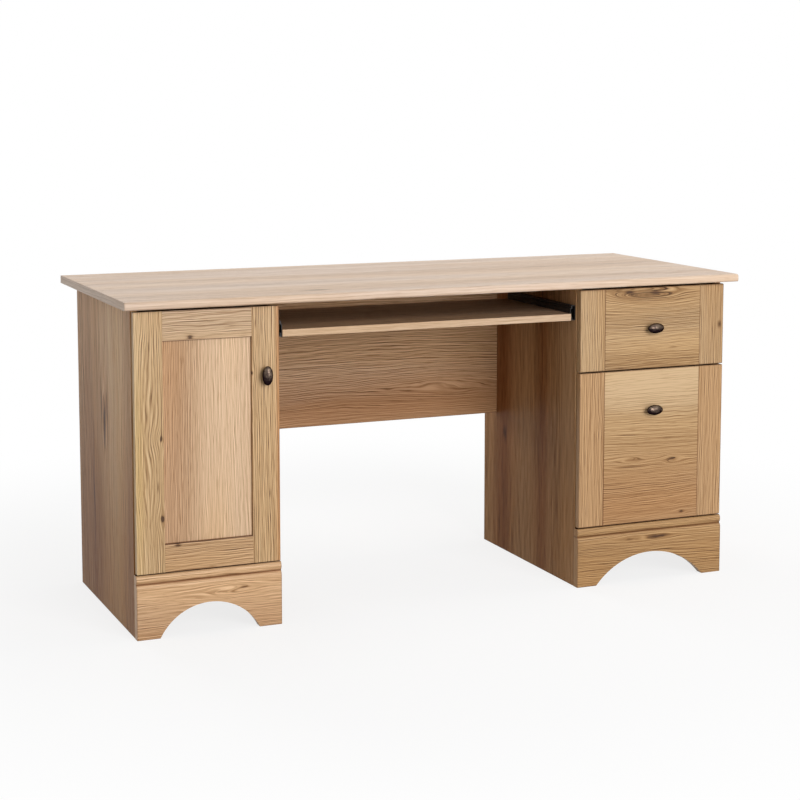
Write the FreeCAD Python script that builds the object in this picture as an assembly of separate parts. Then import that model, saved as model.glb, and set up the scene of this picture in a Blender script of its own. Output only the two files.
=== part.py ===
import FreeCAD, Part
import math
import os

# Computer desk: a cupboard pedestal, a drawer pedestal and a sliding tray between them, under one top.
# Millimetres. X runs to the right, Y to the back and Z up. The origin lies on the floor, under the
# middle of the desktop.

os.makedirs("parts", exist_ok=True)
V = FreeCAD.Vector

# Desktop
TOP_WIDTH = 1500.0
TOP_DEPTH = 602.0
TOP_THICKNESS = 18.0
DESK_HEIGHT = 730.0
TOP_UPPER_ROUND = 7.0
TOP_LOWER_ROUND = 5.0
FRONT_OVERHANG = 24.0
SIDE_OVERHANG = 22.5

# Carcass boards
BOARD = 16.0
EDGE_EASE = 0.8
CARCASS_DEPTH = 508.0
LEFT_WIDTH = 326.0
RIGHT_WIDTH = 393.0
MODESTY_HEIGHT = 364.0
MODESTY_SETBACK = 56.0
BACK_THICKNESS = 3.0
BACK_INSET = 10.0
BACK_GROOVE = 6.0
GROOVE_CLEARANCE = 0.1
CABLE_SLOT_LENGTH = 120.0
CABLE_SLOT_WIDTH = 60.0
CABLE_SLOT_DROP = 110.0

# Plinths
PLINTH_HEIGHT = 140.0
PLINTH_THICKNESS = 20.0
BEAD_HEIGHT = 19.0
BEAD_SETBACK = 1.0
SHOULDER_HEIGHT = 11.0
SHOULDER_DEPTH = 5.5
ARCH_FOOT = 51.0
ARCH_RISE = 68.5
BLOCK_SIZE = 20.0
BLOCK_HEIGHT = 90.0
BLOCK_RAISE = 12.0

# Door and drawer fronts
FRONT_THICKNESS = 16.0
FRONT_GAP = 2.6
REVEAL = 3.0
TOP_REVEAL = 6.5
FRONT_INSET = 2.0
DOOR_STILE = 62.0
DOOR_TOP_RAIL = 64.0
DOOR_BOTTOM_RAIL = 60.5
DOOR_EASE = 0.5
DOOR_PANEL_RECESS = 6.0
DOOR_PANEL_THICKNESS = 5.0
TONGUE = 9.0
UPPER_FRONT_HEIGHT = 192.5
DRAWER_STILE = 65.0
DRAWER_TONGUE = 5.0
DRAWER_TONGUE_THICKNESS = 5.0
DRAWER_EASE = 1.4
BUMPER_RADIUS = 4.0
BUMPER_CLEARANCE = 0.2
BUMPER_DROP = 30.0

# Oval knobs
KNOB_LENGTH = 42.5
KNOB_WIDTH = 24.0
KNOB_PROJECTION = 23.0
KNOB_HEAD = 13.0
KNOB_FRONT_ROUND = 5.2
KNOB_BACK_ROUND = 4.0
KNOB_STEM_RADIUS = 5.0
KNOB_BASE_RADIUS = 7.5
KNOB_BASE_THICKNESS = 2.0
DOOR_KNOB_DROP = 149.5
FILE_KNOB_DROP = 96.0
KNOB_SCREW_RADIUS = 2.0
KNOB_SCREW_BITE = 9.0
KNOB_SCREW_HEAD_RADIUS = 4.0
KNOB_SCREW_HEAD = 2.5

# Hardware screws, one kind for slides and hinges
SCREW_RADIUS = 1.8
SCREW_BITE = 11.0
SCREW_HEAD_RADIUS = 3.5
SCREW_HEAD = 1.5
SCREW_HEAD_ROUND = 0.45

# Adjustable shelf
SHELF_HEIGHT = 440.0
SHELF_FRONT_GAP = 70.0
SHELF_BACK_GAP = 10.0
SHELF_SIDE_GAP = 1.0
PIN_RADIUS = 2.5
PIN_DEPTH = 9.0
PIN_REACH = 9.0
PIN_TAB = 2.0
PIN_INSET = 45.0
PIN_PITCH = 64.0
PIN_ROWS_EACH_WAY = 1

# Drawer boxes
DRAWER_SIDE = 12.0
DRAWER_BOTTOM = 3.0
DRAWER_BOTTOM_RAISE = 10.0
DRAWER_GROOVE = 5.0
DRAWER_BACK_GAP = 62.0
UPPER_BOX_RAISE = 22.0
UPPER_BOX_DROP = 43.0
FILE_BOX_RAISE = 14.0
FILE_BOX_DROP = 80.5
FILE_RAIL_WALL = 1.6
FILE_RAIL_LEG = 9.0
FILE_RAIL_LIP = 5.0
FILE_RAIL_END_GAP = 4.0

# Keyboard tray
TRAY_SETBACK = 20.0
TRAY_DEPTH = 340.0
TRAY_HEADROOM = 62.0
TRAY_FLANGE = 14.0

# Metal slides: channel on the upright, runner on the moving box
SLIDE_SPACE = 12.7
STEEL = 1.2
SLIDE_CLEARANCE = 0.3
SLIDE_LIP_GAP = 1.0
SLIDE_HEIGHT = 35.0
SLIDE_LIP = 5.0
FULL_SLIDE_HEIGHT = 45.0
FULL_SLIDE_LIP = 4.0
FULL_SLIDE_MIDDLE_LIP = 5.0
SLIDE_FRONT_SETBACK = 4.0
SLIDE_BACK_SETBACK = 6.0
UPPER_SLIDE_RAISE = 45.0
FILE_SLIDE_RAISE = 110.0
CHANNEL_SCREW_INSET = 35.0
RUNNER_SCREW_INSET = 55.0

# Concealed hinges
CUP_RADIUS = 17.5
CUP_MARGIN = 3.0
CUP_WALL = 1.0
CUP_FLOOR = 0.8
CUP_SKIN = 3.5
CUP_FLANGE = 1.2
CUP_FLANGE_LENGTH = 60.0
CUP_FLANGE_WIDTH = 16.0
CUP_SCREW_SPACING = 48.0
HINGE_INSET = 95.0
HINGE_PIN_RADIUS = 1.2
HINGE_PIN_CLEARANCE = 0.05
KNUCKLE_RADIUS = 2.0
KNUCKLE_LENGTH = 9.0
KNUCKLE_CLEARANCE = 0.3
KNUCKLE_SIDE_ROOM = 1.2
ARM_STRAP = 2.0
ARM_REACH = 12.0
ARM_RISER = 2.5
ARM_LENGTH = 62.0
PLATE_FRONT = 20.0
PLATE_WING = 1.5
PLATE_WING_HEIGHT = 48.0
PLATE_WING_WIDTH = 14.0
PLATE_SCREW_SPACING = 32.0

# Knock-down fittings
CAM_RADIUS = 7.5
CAM_SKIN = 3.5
CAM_SETBACK = 30.0
CAM_BOLT_RADIUS = 3.0
CAM_BOLT_BITE = 10.0
CAM_INSET = 70.0
CAM_CROSS = 1.4
CAM_CROSS_REACH = 4.0
DOWEL_RADIUS = 4.0
DOWEL_DEPTH = 12.0
DOWEL_INSET = 40.0

# Main levels and planes that the pieces share
under_z = DESK_HEIGHT - TOP_THICKNESS
top_front = -TOP_DEPTH / 2
top_back = TOP_DEPTH / 2
face_y = top_front + FRONT_OVERHANG
edge_y = face_y + PLINTH_THICKNESS
back_y = face_y + CARCASS_DEPTH
front_back_y = edge_y - FRONT_GAP
front_face_y = front_back_y - FRONT_THICKNESS
backing_y = back_y - BACK_INSET - BACK_THICKNESS
modesty_y = (back_y - MODESTY_SETBACK - BOARD, back_y - MODESTY_SETBACK)
floor_z = PLINTH_HEIGHT - BOARD
fronts_low_z = PLINTH_HEIGHT + REVEAL
fronts_high_z = under_z - TOP_REVEAL

# The two pedestals' outer and inner faces
left_outer = (-TOP_WIDTH / 2 + SIDE_OVERHANG, -TOP_WIDTH / 2 + SIDE_OVERHANG + LEFT_WIDTH)
right_outer = (TOP_WIDTH / 2 - SIDE_OVERHANG - RIGHT_WIDTH, TOP_WIDTH / 2 - SIDE_OVERHANG)
left_inner = (left_outer[0] + BOARD, left_outer[1] - BOARD)
right_inner = (right_outer[0] + BOARD, right_outer[1] - BOARD)
left_front_x = (left_outer[0] + FRONT_INSET, left_outer[1] - FRONT_INSET)
right_front_x = (right_outer[0] + FRONT_INSET, right_outer[1] - FRONT_INSET)
knee_x = (left_outer[1], right_outer[0])

# How far the slides' outer and middle members stand off the uprights
channel_reach = SLIDE_SPACE - STEEL - SLIDE_LIP_GAP
middle_reach = channel_reach - STEEL - SLIDE_CLEARANCE


def box(x, y, z):
    """A plain block between pairs of limits."""
    return Part.makeBox(x[1] - x[0], y[1] - y[0], z[1] - z[0], V(x[0], y[0], z[0]))


def board(x, y, z, ease=EDGE_EASE):
    """A block with eased arrises."""
    block = box(x, y, z)
    return block.makeFillet(ease, block.Edges)


def middle(pair):
    """The value halfway between two limits."""
    return (pair[0] + pair[1]) / 2


def around(centre, size):
    """Limits of a given size about a centre."""
    return (centre - size / 2, centre + size / 2)


def solid_from(wire, reach):
    """The solid that a closed wire makes when it is drawn along a vector."""
    solid = Part.Face(wire).extrude(reach)
    if solid.Volume < 0:
        solid.reverse()
    return solid


def along_y(outline, y):
    """A solid with an outline of (x, z) points, drawn along Y."""
    points = [V(px, y[0], pz) for px, pz in outline]
    return solid_from(Part.makePolygon(points + points[:1]), V(0, y[1] - y[0], 0))


def along_z(outline, z):
    """A solid with an outline of (x, y) points, drawn along Z."""
    points = [V(px, py, z[0]) for px, py in outline]
    return solid_from(Part.makePolygon(points + points[:1]), V(0, 0, z[1] - z[0]))


def rod(radius, start, end):
    """A round rod between two points."""
    reach = end - start
    return Part.makeCylinder(radius, reach.Length, start, reach)


def edges_at(shape, x=None, y=None, z=None):
    """The edges whose middle lies at the given coordinates."""
    wanted = [(0, x), (1, y), (2, z)]
    near = 1e-6
    return [
        edge for edge in shape.Edges
        if all(value is None or abs(edge.CenterOfMass[axis] - value) < near for axis, value in wanted)
    ]


def save(name, *solids):
    """Write one node, as one solid or as a group of separate solids."""
    shape = solids[0] if len(solids) == 1 else Part.makeCompound(list(solids))
    shape.exportStep("parts/" + name + ".step")
    print(name, len(shape.Solids), "solids", round(shape.Volume / 1000, 2), "cm3")


def screw(seat, inward, shank_radius, bite, head_radius, head):
    """A screw whose head stands on its seat and whose shank runs inward."""
    shank = rod(shank_radius, seat, seat + inward * bite)
    cap = rod(head_radius, seat - inward * head, seat)
    cap = cap.makeFillet(SCREW_HEAD_ROUND, edges_at(cap, *list(seat - inward * head)))
    return shank.fuse(cap).removeSplitter()


def hardware_screw(seat, inward):
    """The one kind of screw that holds slides and hinges."""
    return screw(seat, inward, SCREW_RADIUS, SCREW_BITE, SCREW_HEAD_RADIUS, SCREW_HEAD)


# Cam fittings: a bolt standing out of one board and the cam that locks it in the other
def cam_joint(joint, along, face):
    """A joint's bolt, cam and cam pocket: along points into the cam's board, face out of its open side."""
    centre = joint + along * CAM_SETBACK
    mouth = centre + face * (BOARD / 2)
    bolt = rod(CAM_BOLT_RADIUS, joint - along * CAM_BOLT_BITE, centre + along * CAM_BOLT_RADIUS)
    pocket = rod(CAM_RADIUS, mouth - face * (BOARD - CAM_SKIN), mouth)
    cam = pocket.cut(bolt)
    for across in (along, along.cross(face)):
        cam = cam.cut(rod(CAM_CROSS, mouth - across * CAM_CROSS_REACH, mouth + across * CAM_CROSS_REACH))
    return bolt, cam, pocket


def desk_joints():
    """Every cam joint of the carcass, as a list of bolts, one of cams and one of cam pockets."""
    joints = []
    rows = (edge_y + CAM_INSET, back_y - CAM_INSET)
    right = V(1, 0, 0)
    down = V(0, 0, -1)
    for outer in (left_outer, right_outer):
        for x, side in ((outer[0] + BOARD / 2, 1), (outer[1] - BOARD / 2, -1)):
            joints += [cam_joint(V(x, y, under_z), down, right * side) for y in rows]
    for inner in (left_inner, right_inner):
        for x, side in ((inner[0], 1), (inner[1], -1)):
            joints += [cam_joint(V(x, y, floor_z + BOARD / 2), right * side, down) for y in rows]
    heights = (under_z - CAM_INSET, under_z - MODESTY_HEIGHT + CAM_INSET)
    for x, side in ((knee_x[0], 1), (knee_x[1], -1)):
        joints += [cam_joint(V(x, middle(modesty_y), z), right * side, V(0, 1, 0)) for z in heights]
    return zip(*joints)


def plinth_dowels():
    """Dowels that hold the plinths to the front edges of the four upright boards."""
    dowels = []
    for outer in (left_outer, right_outer):
        for x in (outer[0] + BOARD / 2, outer[1] - BOARD / 2):
            for z in (DOWEL_INSET, PLINTH_HEIGHT - DOWEL_INSET):
                dowels.append(rod(DOWEL_RADIUS, V(x, edge_y - DOWEL_DEPTH, z), V(x, edge_y + DOWEL_DEPTH, z)))
    return dowels


def modesty_dowels():
    """Dowels that locate the modesty panel under the desktop."""
    y = middle(modesty_y)
    places = (knee_x[0] + CAM_INSET, knee_x[1] - CAM_INSET)
    return [rod(DOWEL_RADIUS, V(x, y, under_z - DOWEL_DEPTH), V(x, y, under_z + DOWEL_DEPTH)) for x in places]


# Slides, drawn as outlines of (distance from the upright, height) points
def channel_outline(height, lip):
    """A C-shaped channel with its lips turned in."""
    half = height / 2
    inside = channel_reach - STEEL
    upper = [
        (channel_reach, half), (channel_reach, half - STEEL - lip), (inside, half - STEEL - lip),
        (inside, half - STEEL), (STEEL, half - STEEL),
    ]
    lower = [(distance, -z) for distance, z in reversed(upper)]
    return [(0, half)] + upper + lower + [(0, -half)]


def middle_outline(height, lip):
    """The middle member of a full-extension slide, held inside the channel's lips."""
    half = height / 2 - STEEL - SLIDE_CLEARANCE
    near = STEEL + SCREW_HEAD + SLIDE_CLEARANCE
    inside = middle_reach - STEEL
    upper = [
        (middle_reach, half), (middle_reach, half - STEEL - lip), (inside, half - STEEL - lip),
        (inside, half - STEEL), (near + STEEL, half - STEEL),
    ]
    lower = [(distance, -z) for distance, z in reversed(upper)]
    return [(near, half)] + upper + lower + [(near, -half)]


def runner_outline(half, lip, lip_reach):
    """A hat-shaped runner whose feet are held behind the lips of the member around it."""
    waist = half - STEEL - lip - SLIDE_CLEARANCE
    foot = half - STEEL - SLIDE_CLEARANCE
    far = lip_reach - STEEL - SLIDE_CLEARANCE
    upper = [
        (SLIDE_SPACE, waist), (far, waist), (far, foot), (far - STEEL, foot),
        (far - STEEL, waist - STEEL), (SLIDE_SPACE - STEEL, waist - STEEL),
    ]
    return upper + [(distance, -z) for distance, z in reversed(upper)]


def slide_pair(outline, faces, height, y):
    """The left and right copies of a slide member, beside two facing upright faces."""
    pair = []
    for face, side in ((faces[0], 1), (faces[1], -1)):
        pair.append(along_y([(face + side * distance, height + z) for distance, z in outline], y))
    return pair


def channel_screws(faces, height, y):
    """Screws that hold a pair of channels to their uprights."""
    rows = (y[0] + CHANNEL_SCREW_INSET, middle(y), y[1] - CHANNEL_SCREW_INSET)
    screws = []
    for face, side in ((faces[0], 1), (faces[1], -1)):
        for row in rows:
            screws.append(hardware_screw(V(face + side * STEEL, row, height), V(-side, 0, 0)))
    return screws


def runner_screws(faces, height, y):
    """Screws that hold a pair of runners to the sides of a drawer."""
    rows = (y[0] + RUNNER_SCREW_INSET, y[1] - RUNNER_SCREW_INSET)
    screws = []
    for face, side in ((faces[0], 1), (faces[1], -1)):
        seat_x = face + side * (SLIDE_SPACE - STEEL)
        screws += [hardware_screw(V(seat_x, row, height), V(side, 0, 0)) for row in rows]
    return screws


def bored(shapes, screws):
    """Shapes with the holes that screws need."""
    holes = Part.makeCompound(screws)
    return [shape.cut(holes) for shape in shapes]


# Levels of the three slides and of the boxes they carry
upper_front_z = (fronts_high_z - UPPER_FRONT_HEIGHT, fronts_high_z)
file_front_z = (fronts_low_z, upper_front_z[0] - REVEAL)
upper_box_z = (upper_front_z[0] + UPPER_BOX_RAISE, upper_front_z[1] - UPPER_BOX_DROP)
file_box_z = (file_front_z[0] + FILE_BOX_RAISE, file_front_z[1] - FILE_BOX_DROP)
upper_slide_z = upper_box_z[0] + UPPER_SLIDE_RAISE
file_slide_z = file_box_z[0] + FILE_SLIDE_RAISE
drawer_x = (right_inner[0] + SLIDE_SPACE, right_inner[1] - SLIDE_SPACE)
drawer_y = (front_back_y, backing_y - DRAWER_BACK_GAP)
drawer_slide_y = (edge_y + SLIDE_FRONT_SETBACK, drawer_y[1] - SLIDE_BACK_SETBACK)
tray_z = (under_z - TRAY_HEADROOM - BOARD, under_z - TRAY_HEADROOM)
tray_y = (face_y + TRAY_SETBACK, face_y + TRAY_SETBACK + TRAY_DEPTH)
tray_x = (knee_x[0] + SLIDE_SPACE, knee_x[1] - SLIDE_SPACE)
tray_slide_y = (edge_y + SLIDE_FRONT_SETBACK, tray_y[1] - SLIDE_BACK_SETBACK)
tray_slide_z = tray_z[0] + SLIDE_HEIGHT / 2

bolts, cams, cam_pockets = desk_joints()
dowels = plinth_dowels() + modesty_dowels()
slide_screws = (channel_screws(right_inner, upper_slide_z, drawer_slide_y)
                + channel_screws(right_inner, file_slide_z, drawer_slide_y)
                + channel_screws(knee_x, tray_slide_z, tray_slide_y))
fittings = Part.makeCompound(list(bolts) + list(cam_pockets) + dowels + slide_screws)


# Desktop, with a rounded front edge and bored for its bolts and dowels
def desktop():
    block = box((-TOP_WIDTH / 2, TOP_WIDTH / 2), (top_front, top_back), (under_z, DESK_HEIGHT))
    block = block.makeFillet(TOP_UPPER_ROUND, edges_at(block, y=top_front, z=DESK_HEIGHT))
    block = block.makeFillet(TOP_LOWER_ROUND, edges_at(block, y=top_front, z=under_z))
    ends = edges_at(block, x=-TOP_WIDTH / 2) + edges_at(block, x=TOP_WIDTH / 2)
    back = edges_at(block, y=top_back, z=DESK_HEIGHT) + edges_at(block, y=top_back, z=under_z)
    return block.makeFillet(EDGE_EASE, ends + back).cut(fittings)


# Upright boards, grooved for the back panels and bored for the fittings
def upright(x, groove_side, extra_cuts):
    blank = board(x, (edge_y, back_y), (0, under_z))
    groove_y = (backing_y - GROOVE_CLEARANCE, backing_y + BACK_THICKNESS + GROOVE_CLEARANCE)
    inner = x[1] if groove_side > 0 else x[0]
    groove_x = sorted((inner, inner - groove_side * BACK_GROOVE))
    blank = blank.cut(box(groove_x, groove_y, (floor_z, under_z)))
    return blank.cut(fittings).cut(extra_cuts)


shelf_y = (edge_y + SHELF_FRONT_GAP, backing_y - SHELF_BACK_GAP)
shelf_pin_rows = (shelf_y[0] + PIN_INSET, shelf_y[1] - PIN_INSET)


def shelf_pins():
    """Pins that carry the shelf: a round shank in the board, a heel on its face and a tab under the shelf."""
    pins = []
    pin_z = SHELF_HEIGHT - PIN_RADIUS
    for face, side in ((left_inner[0], 1), (left_inner[1], -1)):
        for y in shelf_pin_rows:
            shank = rod(PIN_RADIUS, V(face - side * PIN_DEPTH, y, pin_z), V(face, y, pin_z))
            width = around(y, 2 * PIN_RADIUS)
            heel_x = sorted((face, face + side * PIN_TAB))
            heel = box(heel_x, width, (pin_z - PIN_RADIUS, SHELF_HEIGHT))
            tab = box(sorted((face, face + side * PIN_REACH)), width, (SHELF_HEIGHT - PIN_TAB, SHELF_HEIGHT))
            pins.append(shank.fuse([heel, tab]).removeSplitter())
    return pins


def pin_holes():
    """The rows of holes that let the shelf be moved up or down."""
    holes = []
    for face, side in ((left_inner[0], 1), (left_inner[1], -1)):
        for y in shelf_pin_rows:
            for step in range(-PIN_ROWS_EACH_WAY, PIN_ROWS_EACH_WAY + 1):
                z = SHELF_HEIGHT - PIN_RADIUS + step * PIN_PITCH
                holes.append(rod(PIN_RADIUS, V(face - side * PIN_DEPTH, y, z), V(face, y, z)))
    return Part.makeCompound(holes)


def back_panel(inner, cable_slot):
    """A thin back in the grooves of its two boards, with a round-ended slot for cables if asked."""
    reach = BACK_GROOVE - GROOVE_CLEARANCE
    y = (backing_y, backing_y + BACK_THICKNESS)
    panel = box((inner[0] - reach, inner[1] + reach), y, (floor_z, under_z))
    if cable_slot:
        z = under_z - CABLE_SLOT_DROP
        half = (CABLE_SLOT_LENGTH - CABLE_SLOT_WIDTH) / 2
        x = middle(inner)
        panel = panel.cut(box((x - half, x + half), y, around(z, CABLE_SLOT_WIDTH)))
        for end in (x - half, x + half):
            panel = panel.cut(rod(CABLE_SLOT_WIDTH / 2, V(end, y[0], z), V(end, y[1], z)))
    return panel


def bottom_panel(inner):
    """The floor of a pedestal, level with the top of its plinth."""
    return board(inner, (edge_y, backing_y), (floor_z, PLINTH_HEIGHT)).cut(fittings)


def plinth(outer):
    """A base moulding: flat face, rounded shoulder and bead, with an arch cut out between two feet."""
    bead_foot = PLINTH_HEIGHT - BEAD_HEIGHT
    shoulder_foot = bead_foot - SHOULDER_HEIGHT
    crease = face_y + SHOULDER_DEPTH
    radius = (SHOULDER_DEPTH ** 2 + SHOULDER_HEIGHT ** 2) / (2 * SHOULDER_DEPTH)
    half_turn = math.asin(SHOULDER_HEIGHT / radius) / 2
    rise = radius * math.sin(half_turn)
    shoulder_mid = (face_y + radius - radius * math.cos(half_turn), shoulder_foot + rise)
    bead_mid = (face_y + BEAD_SETBACK, bead_foot + BEAD_HEIGHT / 2)

    def at(y, z):
        return V(outer[0], y, z)

    edges = [
        Part.makeLine(at(edge_y, 0), at(face_y, 0)),
        Part.makeLine(at(face_y, 0), at(face_y, shoulder_foot)),
        Part.Arc(at(face_y, shoulder_foot), at(*shoulder_mid), at(crease, bead_foot)).toShape(),
        Part.Arc(at(crease, bead_foot), at(*bead_mid), at(crease, PLINTH_HEIGHT)).toShape(),
        Part.makeLine(at(crease, PLINTH_HEIGHT), at(edge_y, PLINTH_HEIGHT)),
        Part.makeLine(at(edge_y, PLINTH_HEIGHT), at(edge_y, 0)),
    ]
    moulding = solid_from(Part.Wire(edges), V(outer[1] - outer[0], 0, 0))
    half = (outer[1] - outer[0]) / 2 - ARCH_FOOT
    arch = (half ** 2 + ARCH_RISE ** 2) / (2 * ARCH_RISE)
    centre = ARCH_RISE - arch
    x = middle(outer)
    opening = rod(arch, V(x, face_y, centre), V(x, edge_y, centre))
    return moulding.cut(opening).cut(fittings)


def plinth_blocks():
    """Wooden blocks in the corners behind the plinths."""
    blocks = []
    for inner in (left_inner, right_inner):
        for x in ((inner[0], inner[0] + BLOCK_SIZE), (inner[1] - BLOCK_SIZE, inner[1])):
            blocks.append(board(x, (edge_y, edge_y + BLOCK_SIZE), (BLOCK_RAISE, BLOCK_RAISE + BLOCK_HEIGHT)))
    return blocks


def modesty_panel():
    """A board that closes the knee space behind the sitter's legs."""
    return board(knee_x, modesty_y, (under_z - MODESTY_HEIGHT, under_z)).cut(fittings)


def bumpers():
    """Pads on the boards' front edges that the door and the drawer fronts close against."""
    y = (front_back_y + BUMPER_CLEARANCE, edge_y)
    spots = [(left_outer[1] - BOARD / 2, z) for z in (fronts_low_z + BUMPER_DROP, fronts_high_z - BUMPER_DROP)]
    for x in (right_outer[0] + BOARD / 2, right_outer[1] - BOARD / 2):
        spots += [(x, file_front_z[1] - BUMPER_DROP), (x, upper_front_z[1] - BUMPER_DROP)]
    return [rod(BUMPER_RADIUS, V(x, y[0], z), V(x, y[1], z)) for x, z in spots]


# Knobs: a round base and stem with an oval head, rounded front and back
def knob(x, z, upright_oval):
    seat = V(x, front_face_y, z)
    out = V(0, -1, 0)
    back = seat + out * (KNOB_PROJECTION - KNOB_HEAD)
    tip = seat + out * KNOB_PROJECTION
    long_way, short_way = (V(0, 0, 1), V(1, 0, 0)) if upright_oval else (V(1, 0, 0), V(0, 0, 1))
    oval = Part.Ellipse(back + long_way * (KNOB_LENGTH / 2), back + short_way * (KNOB_WIDTH / 2), back)
    head = solid_from(Part.Wire(oval.toShape()), out * KNOB_HEAD)
    head = head.makeFillet(KNOB_FRONT_ROUND, edges_at(head, y=tip.y))
    head = head.makeFillet(KNOB_BACK_ROUND, edges_at(head, y=back.y))
    base = rod(KNOB_BASE_RADIUS, seat, seat + out * KNOB_BASE_THICKNESS)
    base = base.makeFillet(KNOB_BASE_THICKNESS / 2, edges_at(base, y=front_face_y - KNOB_BASE_THICKNESS))
    stem = rod(KNOB_STEM_RADIUS, seat, back)
    return head.fuse([base, stem]).removeSplitter().cut(knob_screw(x, z))


def knob_screw(x, z):
    return screw(V(x, front_back_y, z), V(0, -1, 0), KNOB_SCREW_RADIUS, FRONT_THICKNESS + KNOB_SCREW_BITE,
                 KNOB_SCREW_HEAD_RADIUS, KNOB_SCREW_HEAD)


# Door: two stiles and two rails around a sunk panel
door_x = left_front_x
door_z = (fronts_low_z, fronts_high_z)
door_opening_x = (door_x[0] + DOOR_STILE, door_x[1] - DOOR_STILE)
door_opening_z = (door_z[0] + DOOR_BOTTOM_RAIL, door_z[1] - DOOR_TOP_RAIL)
door_y = (front_face_y, front_back_y)
door_panel_y = (front_face_y + DOOR_PANEL_RECESS, front_face_y + DOOR_PANEL_RECESS + DOOR_PANEL_THICKNESS)
door_groove_y = (door_panel_y[0] - GROOVE_CLEARANCE, door_panel_y[1] + GROOVE_CLEARANCE)
door_knob_spot = (door_x[1] - DOOR_STILE / 2, door_z[1] - DOOR_KNOB_DROP)
tongue_reach = TONGUE - GROOVE_CLEARANCE


def door_stile(x, groove_x):
    return board(x, door_y, door_z, DOOR_EASE).cut(box(groove_x, door_groove_y, door_z))


def door_rail(z, groove_z):
    """A rail with a groove for the panel and a tongue at each end for the stiles' grooves."""
    rail = board(door_opening_x, door_y, z, DOOR_EASE)
    tongue_x = (door_opening_x[0] - tongue_reach, door_opening_x[1] + tongue_reach)
    tongue_z = (z[0] + DOOR_EASE, z[1] - DOOR_EASE)
    return rail.fuse(box(tongue_x, door_panel_y, tongue_z)).cut(box(tongue_x, door_groove_y, groove_z))


def door_panel():
    x = (door_opening_x[0] - tongue_reach, door_opening_x[1] + tongue_reach)
    z = (door_opening_z[0] - tongue_reach, door_opening_z[1] + tongue_reach)
    return box(x, door_panel_y, z)


# Concealed hinges: a cup in the door, a pin across it and a cranked arm on the end panel
hinge_heights = (door_z[0] + HINGE_INSET, door_z[1] - HINGE_INSET)
cup_depth = FRONT_THICKNESS - CUP_SKIN
cup_x = door_x[0] + CUP_MARGIN + CUP_RADIUS
pivot_x = door_x[0] + CUP_MARGIN + CUP_WALL + KNUCKLE_SIDE_ROOM + KNUCKLE_CLEARANCE + KNUCKLE_RADIUS
pivot_y = front_back_y - cup_depth + CUP_FLOOR + KNUCKLE_CLEARANCE + KNUCKLE_RADIUS
pivot_offset = cup_x - pivot_x
riser_x = (pivot_x + ARM_REACH, pivot_x + ARM_REACH + ARM_RISER)
cup_screw_x = cup_x + CUP_FLANGE_WIDTH / 2
plate_screw_y = edge_y + (PLATE_FRONT + ARM_LENGTH) / 2


def hinge_pin(z):
    half = math.sqrt((CUP_RADIUS - CUP_WALL / 2) ** 2 - (pivot_offset + HINGE_PIN_RADIUS) ** 2)
    return rod(HINGE_PIN_RADIUS, V(pivot_x, pivot_y, z - half), V(pivot_x, pivot_y, z + half))


def hinge_cup(z):
    """A round cup let into the door, with an oblong flange on the door's back."""
    outside = rod(CUP_RADIUS, V(cup_x, front_back_y - cup_depth, z), V(cup_x, front_back_y + CUP_FLANGE, z))
    flange_y = (front_back_y, front_back_y + CUP_FLANGE)
    flange = box((cup_x, cup_x + CUP_FLANGE_WIDTH), flange_y, around(z, CUP_FLANGE_LENGTH))
    inside = rod(CUP_RADIUS - CUP_WALL, V(cup_x, front_back_y - cup_depth + CUP_FLOOR, z),
                 V(cup_x, front_back_y + CUP_FLANGE, z))
    return outside.fuse(flange).removeSplitter().cut(inside).cut(hinge_pin(z))


def cup_screws(z):
    seats = [V(cup_screw_x, front_back_y + CUP_FLANGE, z + side * CUP_SCREW_SPACING / 2) for side in (-1, 1)]
    return [hardware_screw(seat, V(0, -1, 0)) for seat in seats]


def hinge_arm(z):
    """A cranked strap: a knuckle on the pin, a reach across the cup and a riser back into the cupboard."""
    span = around(z, KNUCKLE_LENGTH)
    knuckle = rod(KNUCKLE_RADIUS, V(pivot_x, pivot_y, span[0]), V(pivot_x, pivot_y, span[1]))
    outline = [
        (pivot_x, pivot_y - KNUCKLE_RADIUS), (riser_x[1], pivot_y - KNUCKLE_RADIUS),
        (riser_x[1], edge_y + ARM_LENGTH), (riser_x[0], edge_y + ARM_LENGTH),
        (riser_x[0], pivot_y - KNUCKLE_RADIUS + ARM_STRAP), (pivot_x, pivot_y - KNUCKLE_RADIUS + ARM_STRAP),
    ]
    arm = along_z(outline, span).fuse(knuckle).removeSplitter()
    bore = HINGE_PIN_RADIUS + HINGE_PIN_CLEARANCE
    return arm.cut(rod(bore, V(pivot_x, pivot_y, span[0]), V(pivot_x, pivot_y, span[1])))


def hinge_plate(z):
    """A winged plate on the end panel that the arm is fixed to."""
    block_y = (edge_y + PLATE_FRONT, edge_y + ARM_LENGTH)
    block = box((left_inner[0], riser_x[0]), block_y, around(z, KNUCKLE_LENGTH))
    wing = box((left_inner[0], left_inner[0] + PLATE_WING), around(plate_screw_y, PLATE_WING_WIDTH),
               around(z, PLATE_WING_HEIGHT))
    return block.fuse(wing).removeSplitter().cut(Part.makeCompound(plate_screws(z)))


def plate_screws(z):
    seat_x = left_inner[0] + PLATE_WING
    seats = [V(seat_x, plate_screw_y, z + side * PLATE_SCREW_SPACING / 2) for side in (-1, 1)]
    return [hardware_screw(seat, V(-1, 0, 0)) for seat in seats]


def all_at(maker, heights):
    """One piece, or the pieces of one group, made at each height."""
    made = [maker(z) for z in heights]
    return [piece for item in made for piece in (item if isinstance(item, list) else [item])]


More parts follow.
